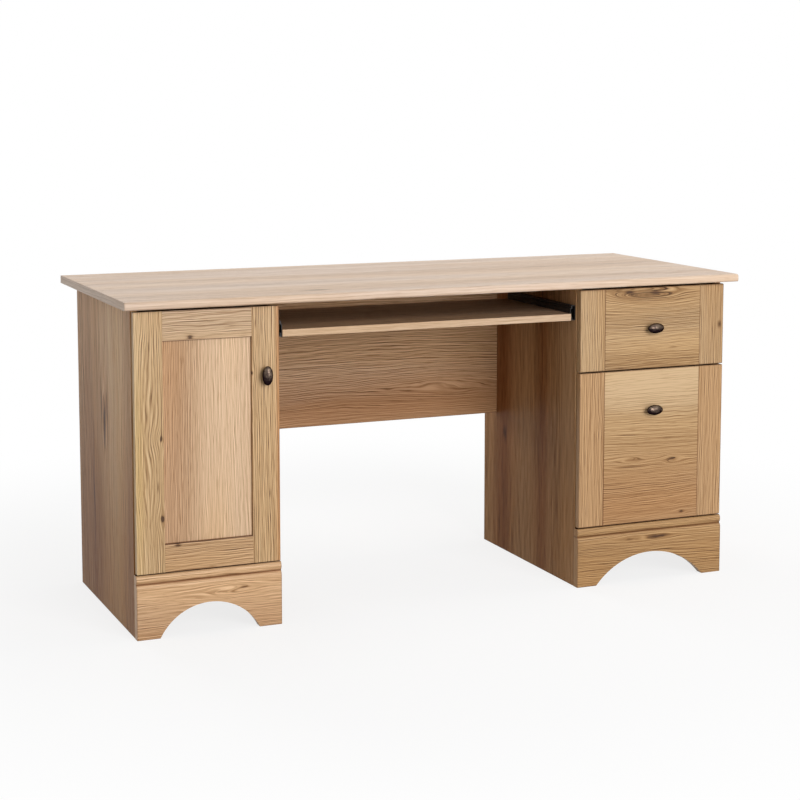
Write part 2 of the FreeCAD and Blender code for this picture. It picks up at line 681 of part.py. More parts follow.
# Drawer fronts: a centre board between two stiles, with a V-shaped line at each joint
def drawer_front(z, spot):
    """The centre board, with tongues for the stiles' grooves."""
    x = (right_front_x[0] + DRAWER_STILE, right_front_x[1] - DRAWER_STILE)
    reach = DRAWER_TONGUE - GROOVE_CLEARANCE
    tongue_y = around(middle(door_y), DRAWER_TONGUE_THICKNESS)
    tongue = box((x[0] - reach, x[1] + reach), tongue_y, (z[0] + DRAWER_EASE, z[1] - DRAWER_EASE))
    return board(x, door_y, z, DRAWER_EASE).fuse(tongue).cut(knob_screw(*spot))


def drawer_front_stiles(z):
    groove_y = around(middle(door_y), DRAWER_TONGUE_THICKNESS + 2 * GROOVE_CLEARANCE)
    stiles = []
    for outer, side in ((right_front_x[0], 1), (right_front_x[1], -1)):
        inner = outer + side * DRAWER_STILE
        stile = board(sorted((outer, inner)), door_y, z, DRAWER_EASE)
        stiles.append(stile.cut(box(sorted((inner, inner - side * DRAWER_TONGUE)), groove_y, z)))
    return stiles


# Drawer boxes: two sides, a back and a bottom that slides in grooves
def drawer_side(x, z, groove_side):
    side = board(x, drawer_y, z)
    inner = x[1] if groove_side > 0 else x[0]
    groove_x = sorted((inner, inner - groove_side * DRAWER_GROOVE))
    low = z[0] + DRAWER_BOTTOM_RAISE
    return side.cut(box(groove_x, drawer_y, (low - GROOVE_CLEARANCE, low + DRAWER_BOTTOM + GROOVE_CLEARANCE)))


def drawer_back(z):
    x = (drawer_x[0] + DRAWER_SIDE, drawer_x[1] - DRAWER_SIDE)
    y = (drawer_y[1] - DRAWER_SIDE, drawer_y[1])
    return board(x, y, (z[0] + DRAWER_BOTTOM_RAISE + DRAWER_BOTTOM, z[1]))


def drawer_bottom(z):
    reach = DRAWER_SIDE - DRAWER_GROOVE + GROOVE_CLEARANCE
    low = z[0] + DRAWER_BOTTOM_RAISE
    return box((drawer_x[0] + reach, drawer_x[1] - reach), drawer_y, (low, low + DRAWER_BOTTOM))


def drawer_box(name, z, screws):
    """Save a drawer's box, with its sides bored for the runners' screws."""
    left = drawer_side((drawer_x[0], drawer_x[0] + DRAWER_SIDE), z, 1)
    right = drawer_side((drawer_x[1] - DRAWER_SIDE, drawer_x[1]), z, -1)
    save(name + "_left_side", *bored([left], screws))
    save(name + "_right_side", *bored([right], screws))
    save(name + "_back", drawer_back(z))
    save(name + "_bottom", drawer_bottom(z))


def file_rails():
    """Caps on the side boards that hanging folders hook over."""
    top = file_box_z[1]
    wall = FILE_RAIL_WALL
    y = (drawer_y[0] + FILE_RAIL_END_GAP, drawer_y[1] - DRAWER_SIDE - FILE_RAIL_END_GAP)
    rails = []
    for outer, side in ((drawer_x[0], 1), (drawer_x[1], -1)):
        inner = outer + side * DRAWER_SIDE
        outline = [
            (outer - side * wall, top - FILE_RAIL_LEG), (outer - side * wall, top + wall),
            (inner, top + wall), (inner, top + wall + FILE_RAIL_LIP),
            (inner + side * wall, top + wall + FILE_RAIL_LIP), (inner + side * wall, top - FILE_RAIL_LEG),
            (inner, top - FILE_RAIL_LEG), (inner, top), (outer, top), (outer, top - FILE_RAIL_LEG),
        ]
        rails.append(along_y(outline, y))
    return rails


def tray_runners():
    """Runners with a web down the tray's edge and a flange under it."""
    hat = runner_outline(SLIDE_HEIGHT / 2, SLIDE_LIP, channel_reach)
    runners = slide_pair(hat, knee_x, tray_slide_z, tray_slide_y)
    seated = []
    for runner, face, side in zip(runners, knee_x, (1, -1)):
        web = sorted((face + side * (SLIDE_SPACE - STEEL), face + side * SLIDE_SPACE))
        flange = sorted((face + side * (SLIDE_SPACE - STEEL), face + side * (SLIDE_SPACE + TRAY_FLANGE)))
        low = tray_z[0] - STEEL
        seat = box(web, tray_slide_y, (low, tray_slide_z)).fuse(box(flange, tray_slide_y, (low, tray_z[0])))
        seated.append(runner.fuse(seat).removeSplitter())
    return seated


def tray_runner_screws():
    """Screws that go up through the runners' flanges into the tray."""
    rows = (tray_slide_y[0] + RUNNER_SCREW_INSET, tray_slide_y[1] - RUNNER_SCREW_INSET)
    screws = []
    for face, side in zip(knee_x, (1, -1)):
        x = face + side * (SLIDE_SPACE + TRAY_FLANGE / 2)
        screws += [hardware_screw(V(x, row, tray_z[0] - STEEL), V(0, 0, 1)) for row in rows]
    return screws


# Carcass nodes
pins = shelf_pins()
plate_fixings = all_at(plate_screws, hinge_heights)
left_cuts = Part.makeCompound(pins + plate_fixings + [pin_holes()])
nothing = Part.makeCompound([])

save("desktop", desktop())
save("left_end_panel", upright((left_outer[0], left_inner[0]), 1, left_cuts))
save("left_inner_upright", upright((left_inner[1], left_outer[1]), -1, left_cuts))
save("right_inner_upright", upright((right_outer[0], right_inner[0]), 1, nothing))
save("right_end_panel", upright((right_inner[1], right_outer[1]), -1, nothing))
save("left_bottom_panel", bottom_panel(left_inner))
save("right_bottom_panel", bottom_panel(right_inner))
save("left_back_panel", back_panel(left_inner, True))
save("right_back_panel", back_panel(right_inner, False))
save("left_plinth", plinth(left_outer))
save("right_plinth", plinth(right_outer))
save("plinth_blocks", *plinth_blocks())
save("modesty_panel", modesty_panel())
save("cupboard_shelf", board((left_inner[0] + SHELF_SIDE_GAP, left_inner[1] - SHELF_SIDE_GAP), shelf_y,
                             (SHELF_HEIGHT, SHELF_HEIGHT + BOARD)))
save("shelf_pins", *pins)
save("front_bumpers", *bumpers())
save("cam_locks", *cams)
save("cam_bolts", *bolts)
save("dowels", *dowels)
save("carcass_screws", *slide_screws, *plate_fixings)
save("hinge_plates", *all_at(hinge_plate, hinge_heights))
save("hinge_arms", *all_at(hinge_arm, hinge_heights))

# Channels, bored for their screws
narrow = channel_outline(SLIDE_HEIGHT, SLIDE_LIP)
tall = channel_outline(FULL_SLIDE_HEIGHT, FULL_SLIDE_LIP)
save("tray_channels", *bored(slide_pair(narrow, knee_x, tray_slide_z, tray_slide_y), slide_screws))
save("upper_drawer_channels",
     *bored(slide_pair(narrow, right_inner, upper_slide_z, drawer_slide_y), slide_screws))
save("file_drawer_channels",
     *bored(slide_pair(tall, right_inner, file_slide_z, drawer_slide_y), slide_screws))

# Door nodes
cups = all_at(hinge_cup, hinge_heights)
cup_fixings = all_at(cup_screws, hinge_heights)
cup_pockets = [rod(CUP_RADIUS, V(cup_x, front_back_y - cup_depth, z), V(cup_x, front_back_y, z))
               for z in hinge_heights]
hinge_cuts = Part.makeCompound(cup_pockets + cup_fixings)
hinge_stile = door_stile((door_x[0], door_opening_x[0]), (door_opening_x[0] - TONGUE, door_opening_x[0]))
knob_stile = door_stile((door_opening_x[1], door_x[1]), (door_opening_x[1], door_opening_x[1] + TONGUE))
save("door_hinge_stile", hinge_stile.cut(hinge_cuts))
save("door_knob_stile", knob_stile.cut(knob_screw(*door_knob_spot)))
save("door_top_rail",
     door_rail((door_opening_z[1], door_z[1]), (door_opening_z[1], door_opening_z[1] + TONGUE)))
save("door_bottom_rail",
     door_rail((door_z[0], door_opening_z[0]), (door_opening_z[0] - TONGUE, door_opening_z[0])))
save("door_panel", door_panel())
save("door_knob", knob(*door_knob_spot, True))
save("door_knob_screw", knob_screw(*door_knob_spot))
save("hinge_cups", *bored(cups, cup_fixings))
save("hinge_pins", *all_at(hinge_pin, hinge_heights))
save("hinge_cup_screws", *cup_fixings)

# Upper drawer nodes
upper_spot = (middle(right_front_x), middle(upper_front_z))
save("upper_drawer_front", drawer_front(upper_front_z, upper_spot))
save("upper_drawer_front_stiles", *drawer_front_stiles(upper_front_z))
upper_screws = runner_screws(right_inner, upper_slide_z, drawer_slide_y)
drawer_box("upper_drawer", upper_box_z, upper_screws)
upper_runner = runner_outline(SLIDE_HEIGHT / 2, SLIDE_LIP, channel_reach)
save("upper_drawer_runners",
     *bored(slide_pair(upper_runner, right_inner, upper_slide_z, drawer_slide_y), upper_screws))
save("upper_drawer_runner_screws", *upper_screws)
save("upper_drawer_knob", knob(*upper_spot, False))
save("upper_drawer_knob_screw", knob_screw(*upper_spot))

# File drawer nodes
file_spot = (middle(right_front_x), file_front_z[1] - FILE_KNOB_DROP)
save("file_drawer_front", drawer_front(file_front_z, file_spot))
save("file_drawer_front_stiles", *drawer_front_stiles(file_front_z))
file_screws = runner_screws(right_inner, file_slide_z, drawer_slide_y)
drawer_box("file_drawer", file_box_z, file_screws)
save("file_rails", *file_rails())
middles = middle_outline(FULL_SLIDE_HEIGHT, FULL_SLIDE_MIDDLE_LIP)
save("file_slide_middles", *slide_pair(middles, right_inner, file_slide_z, drawer_slide_y))
file_runner_half = FULL_SLIDE_HEIGHT / 2 - STEEL - SLIDE_CLEARANCE
file_runner = runner_outline(file_runner_half, FULL_SLIDE_MIDDLE_LIP, middle_reach)
save("file_drawer_runners",
     *bored(slide_pair(file_runner, right_inner, file_slide_z, drawer_slide_y), file_screws))
save("file_drawer_runner_screws", *file_screws)
save("file_drawer_knob", knob(*file_spot, False))
save("file_drawer_knob_screw", knob_screw(*file_spot))

# Keyboard tray nodes
tray_screws = tray_runner_screws()
save("keyboard_tray", *bored([board(tray_x, tray_y, tray_z)], tray_screws))
save("tray_runners", *bored(tray_runners(), tray_screws))
save("tray_runner_screws", *tray_screws)
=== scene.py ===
# %% [markdown]
# # A computer desk in light oak laminate
# This script dresses a finished CAD desk for pictures. The boards, slides and fittings already have
# their true shape, so most of the work is in their finishes. Only the three knobs are modelled again,
# because a rounded casting needs a finer surface than the CAD solid gives.

# %% Load the frame
import math

import bpy
import numpy as np
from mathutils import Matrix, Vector


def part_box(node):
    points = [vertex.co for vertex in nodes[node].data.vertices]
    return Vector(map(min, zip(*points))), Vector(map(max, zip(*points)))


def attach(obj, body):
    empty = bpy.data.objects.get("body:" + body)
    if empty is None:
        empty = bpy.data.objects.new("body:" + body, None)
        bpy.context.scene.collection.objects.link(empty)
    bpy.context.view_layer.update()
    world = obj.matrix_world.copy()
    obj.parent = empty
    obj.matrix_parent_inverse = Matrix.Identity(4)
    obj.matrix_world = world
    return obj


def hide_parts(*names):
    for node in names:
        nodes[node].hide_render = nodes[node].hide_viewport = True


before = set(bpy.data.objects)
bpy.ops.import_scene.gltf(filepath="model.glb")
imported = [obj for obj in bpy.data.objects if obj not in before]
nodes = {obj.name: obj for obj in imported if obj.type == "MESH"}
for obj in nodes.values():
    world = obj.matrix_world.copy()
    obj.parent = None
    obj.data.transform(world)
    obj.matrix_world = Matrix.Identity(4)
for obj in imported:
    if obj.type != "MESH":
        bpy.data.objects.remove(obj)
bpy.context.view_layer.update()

# %% [markdown]
# ## Camera
# The viewing point was solved from the desk's own edges. A long lens stands to the left of the desk at
# about chest height and looks slightly down. A small vertical shift keeps the upright boards nearly
# upright in the picture, as a view camera does, without tilting further.

# %% Place the camera
CAMERA_PLACE = (-1.6835, -3.9619, 1.1736)  # metres
CAMERA_TURN = 22.996  # degrees to the right
CAMERA_TILT = 6.302  # degrees down
CAMERA_LENS = 81.731  # millimetres
SENSOR_WIDTH = 36  # millimetres
CAMERA_SHIFT = -0.14  # share of the picture's width

camera = bpy.data.objects.new("camera", bpy.data.cameras.new("camera"))
camera.location = CAMERA_PLACE
camera.rotation_euler = (math.radians(90 - CAMERA_TILT), 0, -math.radians(CAMERA_TURN))
camera.data.sensor_width = SENSOR_WIDTH
camera.data.lens = CAMERA_LENS
camera.data.shift_y = CAMERA_SHIFT
bpy.context.scene.collection.objects.link(camera)
bpy.context.scene.camera = camera
bpy.context.scene.view_settings.view_transform = "Standard"
print("camera at", CAMERA_PLACE, "lens", CAMERA_LENS)

# %% [markdown]
# ## Shader maths
# A wood pattern is a sum of many small fields: waves, noise, spots. Written as nodes one by one it
# would fill pages, so one class wraps an output socket and turns Python operators into Math nodes.
# Every other node comes from its make method: first the node's settings, then its sockets.


# %% A field that varies over a surface
class Field:
    """One output socket of a material's node tree, with arithmetic on it."""

    def __init__(self, tree, socket=None):
        self.tree = tree
        self.socket = socket

    def make(self, kind, settings=None, inputs=None, out=0):
        """A new node: its settings are set first, then each socket gets a value or a link."""
        node = self.tree.nodes.new("ShaderNode" + kind)
        for name, value in (settings or {}).items():
            if name == "stops":
                self.set_stops(node.color_ramp, value)
            else:
                setattr(node, name, value)
        for key, value in (inputs or {}).items():
            self.feed(node.inputs[key], value)
        return Field(self.tree, node.outputs[out])

    def feed(self, socket, value):
        """Link a field to an input socket, or set a plain value on it."""
        if isinstance(value, Field):
            self.tree.links.new(value.socket, socket)
        else:
            socket.default_value = value

    @staticmethod
    def set_stops(ramp, stops):
        """Give a colour ramp one element for each (position, colour)."""
        while len(ramp.elements) < len(stops):
            ramp.elements.new(1.0)
        for element, (position, colour) in zip(ramp.elements, stops):
            element.position = position
            element.color = colour

    def maths(self, operation, first, second=0.0):
        """A Math node on two fields or numbers."""
        return self.make("Math", {"operation": operation}, {0: first, 1: second})

    def __add__(self, other):
        return self.maths("ADD", self, other)

    def __sub__(self, other):
        return self.maths("SUBTRACT", self, other)

    def __rsub__(self, other):
        return self.maths("SUBTRACT", other, self)

    def __mul__(self, other):
        return self.maths("MULTIPLY", self, other)

    def __truediv__(self, other):
        return self.maths("DIVIDE", self, other)

    def __rtruediv__(self, other):
        return self.maths("DIVIDE", other, self)

    def __pow__(self, other):
        return self.maths("POWER", self, other)

    def __rpow__(self, other):
        return self.maths("POWER", other, self)

    def __abs__(self):
        return self.maths("ABSOLUTE", self)

    __radd__ = __add__
    __rmul__ = __mul__

    def between(self, low, high):
        """0 below low, 1 above high and a smooth step in between."""
        settings = {"interpolation_type": "SMOOTHSTEP"}
        return self.make("MapRange", settings, {"Value": self, "From Min": low, "From Max": high})

    def parts(self):
        """The three components of a vector."""
        split = self.make("SeparateXYZ", inputs={0: self}).socket.node
        return [Field(self.tree, split.outputs[axis]) for axis in range(3)]

    def place(self):
        """Where a point lies on the desk: its Object coordinates, in metres."""
        return self.make("TexCoord", out="Object").parts()

    def facing(self):
        """Which way a surface looks: the three parts of its normal."""
        return self.make("TexCoord", out="Normal").parts()

    def noise(self, x, y, z, detail=0.0, rough=0.5):
        """Smooth noise at a place given by three fields or numbers."""
        place = self.make("CombineXYZ", inputs={0: x, 1: y, 2: z})
        sockets = {"Vector": place, "Scale": 1.0, "Detail": detail, "Roughness": rough}
        return self.make("TexNoise", inputs=sockets)

    def mix(self, share, first, second, blend="MIX"):
        """A colour between two colours, or with MULTIPLY the first stained by the second."""
        settings = {"data_type": "RGBA", "blend_type": blend}
        return self.make("Mix", settings, {"Factor": share, 6: first, 7: second}, out=2)

    def bump(self, height, depth, strength=0.15):
        """A normal that follows a height field, whose 1 stands a depth in metres proud."""
        sockets = {"Strength": strength, "Distance": depth, "Height": height}
        return self.make("Bump", inputs=sockets)


print("fields ready")

# %% [markdown]
# ## Colours and materials
# Colours are written as a screen shows them and turned into the linear colours that shaders add up.
# Each finish is one principled shader. What is the same all over a surface is set straight on its
# socket, and only what varies is linked.

# %% Start, finish and put on a material
dressed = set()


def colour(red, green, blue):
    """A screen colour of 0 to 255 as a linear one: the screen's curve, a straight toe and a power."""
    value = np.array([red, green, blue]) / 255
    linear = np.where(value <= 0.04045, value / 12.92, ((value + 0.055) / 1.055) ** 2.4)
    return (*linear.tolist(), 1.0)


def start_material(name):
    """A new material with its principled shader, and the field to begin its maths with."""
    material = bpy.data.materials.new(name)
    material.use_nodes = True
    return material, material.node_tree.nodes["Principled BSDF"], Field(material.node_tree)


def finish_shader(start, shader, **sockets):
    """Link fields, or set plain values, on the sockets of a principled shader."""
    for name, value in sockets.items():
        start.feed(shader.inputs[name.replace("_", " ")], value)


def dress(material, *names):
    """Put one material on CAD nodes."""
    for name in names:
        nodes[name].data.materials.clear()
        nodes[name].data.materials.append(material)
    dressed.update(names)


print("materials can be made")

# %% [markdown]
# ## Oak laminate
# The boards are chipboard under a printed oak paper. Its grain runs along each board: long soft bands,
# wavy growth lines a few millimetres apart, fine hair lines, short dark pores, and here and there a
# knot that pushes the lines aside. The print could be painted on a picture, but a sum of stretched
# noises stays sharp at any distance and gives every board its own grain. On a board's ends the print
# would show end grain, so there it is turned to run along the edge, as edging tape does.

# %% Noises of the print
# Each has its waves per metre along the grain and across it, what it adds to the board's seed, and
# then, where it has finer detail, how much and how rough.
STRETCH = {
    "wander": (1.3, 6, 0),
    "ripple": (13, 28, 11),
    "shiver": (34, 60, 17),
    "band": (0.6, 12, 23, 2.0),
    "strong": (1.6, 9, 29),
    "drift": (0.9, 45, 41, 1.0),
    "hair": (9, 560, 37, 2.0, 0.65),
    "pore": (26, 430, 61, 1.0),
    "warm": (1.4, 10, 71),
}


def stretched(u, v, seed, name):
    """One of the print's noises, at u along the grain and v across it."""
    along, across, offset, *detail = STRETCH[name]
    return u.noise(u * along, v * across, seed + offset, *detail)


print("noises", list(STRETCH))

# %% [markdown]
# ## The path of the grain
# On real oak the lines bend round a knot and wander from end to end. Here the place across the grain is
# shifted before any line is drawn, so that bands, lines and hairs all bend together. A place on a board
# is five numbers: where it sits along the grain and across it, its length, its width and its strength.

# %% Bend the grain
RIPPLE_SIZE = 0.0036  # metres
SHIVER_SIZE = 0.0014  # metres


def bell(u, v, spot):
    """A smooth hump on a spot: strength times e to minus the squared distance in spot sizes."""
    spot_u, spot_v, length, width, strength = spot
    along = (u - spot_u) / length
    across = (v - spot_v) / width
    return along.maths("EXPONENT", 0 - (along * along + across * across)) * strength


def bent(u, v, w, seed, sway, eyes):
    """The place across the grain, shifted by three noises and drawn towards the middle of each eye."""
    wander = stretched(u, v, seed, "wander") - 0.5
    ripple = stretched(u, v, seed, "ripple") - 0.5
    shiver = stretched(u, v, seed, "shiver") - 0.5
    q = v + wander * sway + ripple * RIPPLE_SIZE + shiver * SHIVER_SIZE
    for eye in eyes:
        q = q - (w - eye[1]) * bell(u, w, eye)
    return q


print("grain bends by", RIPPLE_SIZE, "and", SHIVER_SIZE, "metres")

# %% [markdown]
# ## The colours of the print
# An oak print has pale early wood, a middle colour, darker late wood and nearly black knots. Each board
# gives only its middle colour, and the other three are shares of it. Darker paint in the joints makes a
# board's outline show. Edges that look up or down into a narrow gap get a painted shadow.

# %% Tones, rims and shadows
TONE_STOPS = (0.0, 0.36, 0.68, 1.0)
TONE_SHARES = [(1.14, 1.18, 1.24), (1.0, 1.0, 1.0), (0.81, 0.76, 0.69), (0.41, 0.33, 0.27)]
BRIGHTEST = 250
WARM = colour(255, 246, 228)
# RIM darkens the joints, and also paints shade round the door panel's recess and in the plinths' crease
RIM = colour(140, 104, 74)
# SHADOW is painted shadow for faces that look up or down into narrow gaps
SHADOW = colour(92, 62, 44)
RIM_REACH = (0.0003, 0.0026)  # metres inside the outline


def tone(mid):
    """A print's four colours, each a share of its middle colour: pale wood, middle, low and knot."""
    colours = [colour(*np.minimum(np.array(mid) * share, BRIGHTEST)) for share in TONE_SHARES]
    return list(zip(TONE_STOPS, colours))


def rim_of(box, u, v, along, across):
    """1 on the outline of a box and 0 a few millimetres inside it: the least distance to four sides."""
    low, high = box
    inside = u.maths("MINIMUM", u - low[along], high[along] - u)
    inside = u.maths("MINIMUM", inside, u.maths("MINIMUM", v - low[across], high[across] - v))
    return 1 - inside.between(*RIM_REACH)


print("tones at", TONE_STOPS)

# %% [markdown]
# ## The oak finish
# The parts are added up to one shade, which picks a colour from the board's four tones. The hair lines
# are the difference of one noise at two places a little apart. That leaves out its broad streaks, so
# the lines stay fine. The same fields also make pores rougher and a little sunk.

# %% The oak finish
AXIS = {"x": 0, "y": 1, "z": 2}
END_FACE, BROAD_FACE, LYING_FACE = (0.6, 0.8), (0.5, 0.85), (0.9, 0.98)
STRONG_LINES, PORES, WARM_WOOD = (0.36, 0.62), (0.56, 0.72), (0.34, 0.66)
RING_DRIFT, LINE_SHARPNESS, LINE_MEAN, WEAK_LINE = 1.6, 3.0, 0.25, 0.35
HAIR_SIZE, PORE_SIZE, PLAIN_SHADE = 0.7, 0.16, 0.378
NARROW_SHARE, WARM_SHARE, PRINT_DEPTH = 0.5, 0.6, 0.0006


def oak(node, grain, face, seed, mid, sway=0.03, bands=0.5, lines=0.5, fine=2.2, apart=0.0026,
        pitch=0.0037, gloss=0.3, edge=0.0, rims=0.5, outline=None, eyes=(), knots=(), stains_and_shade=()):
    """Oak print: shade is bands + growth lines + hair lines + pores + knots, along one axis of a board.

    Eyes bend the growth lines round a place, knots darken or lighten it, and coloured spots stain some
    places and paint shade on others. The outline of a board is darker by the share rims, and faces that
    look up or down get painted shadow by the share edge."""
    material, shader, start = start_material("oak_" + node)
    place = start.place()
    facing = [abs(part) for part in start.facing()]
    along, out = AXIS[grain], AXIS[face]
    across = 3 - along - out
    end = facing[along].between(*END_FACE)
    u = place[along] + (place[across] - place[along]) * end
    v = place[across] + (place[along] - place[across]) * end + place[out]
    w = place[across]
    q = bent(u, v, w, seed, sway, eyes)

    band = stretched(u, q, seed, "band") - 0.5
    strong = stretched(u, q, seed, "strong").between(*STRONG_LINES)
    rings = q / pitch + stretched(u, q, seed, "drift") * RING_DRIFT
    line = (rings - rings.maths("FLOOR", rings)) ** LINE_SHARPNESS
    hair = (stretched(u, q, seed, "hair") - stretched(u, q + apart, seed, "hair")) * HAIR_SIZE
    pore = stretched(u, q, seed, "pore").between(*PORES)

    broad = facing[out].between(*BROAD_FACE)
    growth = (line - LINE_MEAN) * (strong * (1 - WEAK_LINE) + WEAK_LINE) * lines
    figure = growth + hair * fine + pore * PORE_SIZE
    shade = PLAIN_SHADE + band * bands + figure * (broad * (1 - NARROW_SHARE) + NARROW_SHARE)
    for knot in knots:
        shade = shade + bell(u, w, knot)

    wood = start.make("ValToRGB", {"stops": tone(mid)}, {0: shade})
    warm = stretched(u, q, seed, "warm").between(*WARM_WOOD)
    wood = start.mix(warm * WARM_SHARE, wood, WARM, "MULTIPLY")
    for spot, tint in stains_and_shade:
        wood = start.mix(bell(u, w, spot), wood, tint, "MULTIPLY")
    rim = rim_of(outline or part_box(node), place[along], w, along, across) * broad
    wood = start.mix(rim * rims, wood, RIM, "MULTIPLY")
    # painted shadow: faces that look up or down are darkened as if in a narrow gap's shade
    wood = start.mix(facing[2].between(*LYING_FACE) * edge, wood, SHADOW, "MULTIPLY")

    height = hair * 0.5 - pore * 0.7 - line * 0.4 - rim * 0.8
    roughness = 0.44 + pore * 0.12 + hair * 0.08
    finish_shader(start, shader, Base_Color=wood, Roughness=roughness, Specular_IOR_Level=gloss,
                  Normal=start.bump(height, PRINT_DEPTH))
    return material


print("oak finish ready")

# %% [markdown]
# ## The door
# Uprights, stiles and the sunk panel have upright grain. The top, the rails, the drawer fronts, the
# plinths and the panel behind the knees have grain along the desk. Each board has its own seed and its
# own middle colour, so no two show the same print. The door's stiles have small knots beside the panel,
# and its panel is ruddier on the left. The panel's darker rim follows the opening, not its hidden edges:
# it is painted shade in the corner of the recess. A pale line down the hinge stile's outer edge is a
# painted highlight.

# %% Stains
# These colours stain the print, and UMBER, SMOKE and BARK also paint shade in a few places below.
SIENNA, TEAK = colour(226, 184, 144), colour(204, 170, 140)
UMBER, STRAW = colour(190, 160, 130), colour(255, 252, 214)
SMOKE, BARK = colour(200, 180, 164), colour(188, 159, 109)
print("six stains ready")

# %% Marks of the door
STILE_EYES = [(0.433, -0.669, 0.030, 0.016, 0.9), (0.260, -0.668, 0.030, 0.016, 0.9),
              (0.520, -0.693, 0.160, 0.030, 0.6), (0.340, -0.700, 0.100, 0.020, 0.5)]
# the last entry is no knot: a pale line down the stile's outer edge, a painted highlight
STILE_KNOTS_AND_HIGHLIGHT = [(0.433, -0.6685, 0.005, 0.003, 0.85), (0.260, -0.668, 0.006, 0.0035, 0.95),
               (0.330, -0.677, 0.010, 0.0015, 0.55), (0.42, -0.7245, 0.9, 0.0025, -0.15)]
STILE_STAINS = [((0.36, -0.720, 0.24, 0.012, 0.6), STRAW)]
KNOB_STILE_EYES = [(0.562, -0.4654, 0.02, 0.010, 0.8)]
KNOB_STILE_KNOTS = [(0.562, -0.4650, 0.004, 0.0025, 0.8), (0.670, -0.4576, 0.009, 0.0014, 0.5),
                    (0.295, -0.4268, 0.009, 0.0014, 0.55)]
EDGE_GLOW = [((0.42, -0.4055, 0.9, 0.006, 0.7), SIENNA)]
TOP_RAIL_KNOT = [(-0.6027, 0.6475, 0.006, 0.004, 0.85)]
BOTTOM_RAIL_KNOT = [(-0.635, 0.2005, 0.006, 0.0035, 0.95)]
PANEL_STAINS = [((0.43, -0.645, 0.9, 0.055, 0.5), TEAK)]
OPENING = ((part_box("door_hinge_stile")[1][0], 0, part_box("door_bottom_rail")[1][2]),
           (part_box("door_knob_stile")[0][0], 0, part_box("door_top_rail")[0][2]))
print("door panel shows between", OPENING)

# %% Dress the door
# share of painted shadow on the fronts' top and bottom edges and on the plinths' tops
FRONT_GAP_SHADOW = 0.9


def dress_fronts(boards):
    """Give each board in a list of (node, grain, seed, middle colour, marks) its own oak print."""
    for node, grain, seed, mid, marks in boards:
        dress(oak(node, grain, "y", seed, mid, edge=FRONT_GAP_SHADOW, **marks), node)
    print("front boards dressed", [board[0] for board in boards])


dress_fronts([
    ("door_hinge_stile", "z", 21.0, (204, 173, 134),
     {"eyes": STILE_EYES, "knots": STILE_KNOTS_AND_HIGHLIGHT, "stains_and_shade": STILE_STAINS,
      "lines": 0.36, "fine": 2.05, "rims": 0.05}),
    ("door_knob_stile", "z", 24.5, (203, 170, 130),
     {"eyes": KNOB_STILE_EYES, "knots": KNOB_STILE_KNOTS, "stains_and_shade": EDGE_GLOW,
      "fine": 2.5, "rims": 0.15}),
    ("door_top_rail", "x", 27.3, (205, 174, 140),
     {"knots": TOP_RAIL_KNOT, "bands": 0.7, "lines": 0.25, "fine": 1.8}),
    ("door_bottom_rail", "x", 30.1, (200, 161, 119), {"knots": BOTTOM_RAIL_KNOT, "fine": 2.4}),
    # painted shade: the panel's strong rim along the opening stands for the shade in the recess's corner
    ("door_panel", "z", 33.8, (218, 184, 148),
     {"stains_and_shade": PANEL_STAINS, "lines": 0.3, "fine": 1.35, "rims": 0.9, "outline": OPENING}),
])

# %% [markdown]
# ## Drawer fronts and plinths
# Each drawer front is one board with two upright stiles, and a fine groove shows where they meet. The
# centre boards carry the boldest figure of the desk, with eyes and dark swirls. Under them the plinths
# have a bead along the top, and a crease below it whose shade is painted as a long thin dark line.

# %% Marks of the drawer fronts
STILE_WIDTH = 0.065  # metres


def between_stiles(stiles):
    """The part of a drawer front that shows between its two stiles."""
    low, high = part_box(stiles)
    return (low[0] + STILE_WIDTH, 0, low[2]), (high[0] - STILE_WIDTH, 0, high[2])


UPPER_EYES = [(0.466, 0.696, 0.05, 0.012, 1.3), (0.5375, 0.694, 0.06, 0.012, 1.3),
              (0.52, 0.700, 0.10, 0.035, 0.7)]
UPPER_KNOTS = [(0.466, 0.6955, 0.012, 0.005, 0.5), (0.5375, 0.6942, 0.014, 0.005, 0.5),
               (0.52, 0.688, 0.10, 0.016, 0.36), (0.5866, 0.5597, 0.012, 0.002, 0.4),
               (0.53, 0.615, 0.25, 0.030, 0.10), (0.53, 0.560, 0.25, 0.030, -0.12)]
UPPER_STILE_KNOT = [(0.6084, 0.7145, 0.008, 0.005, 0.6)]
UPPER_STILE_STAIN = [((0.61, 0.695, 0.5, 0.06, 0.2), UMBER)]
FILE_EYES = [(0.472, 0.2955, 0.05, 0.012, 1.5), (0.5918, 0.2883, 0.035, 0.012, 1.4),
             (0.465, 0.279, 0.09, 0.010, 0.8), (0.6166, 0.1589, 0.02, 0.008, 0.9)]
FILE_KNOTS = [(0.472, 0.2955, 0.03, 0.004, 0.28), (0.5918, 0.2883, 0.012, 0.005, 0.4),
              (0.465, 0.279, 0.05, 0.003, 0.3), (0.6166, 0.1589, 0.006, 0.003, 0.6),
              (0.53, 0.465, 0.25, 0.055, -0.42), (0.53, 0.315, 0.25, 0.035, 0.12)]
FILE_STAINS = [((0.53, 0.180, 0.6, 0.12, 0.5), SIENNA)]
FILE_STILE_GLOW = [(0.33, 0.695, 0.6, 0.06, -0.08)]
print("upper front shows between", between_stiles("upper_drawer_front_stiles"))

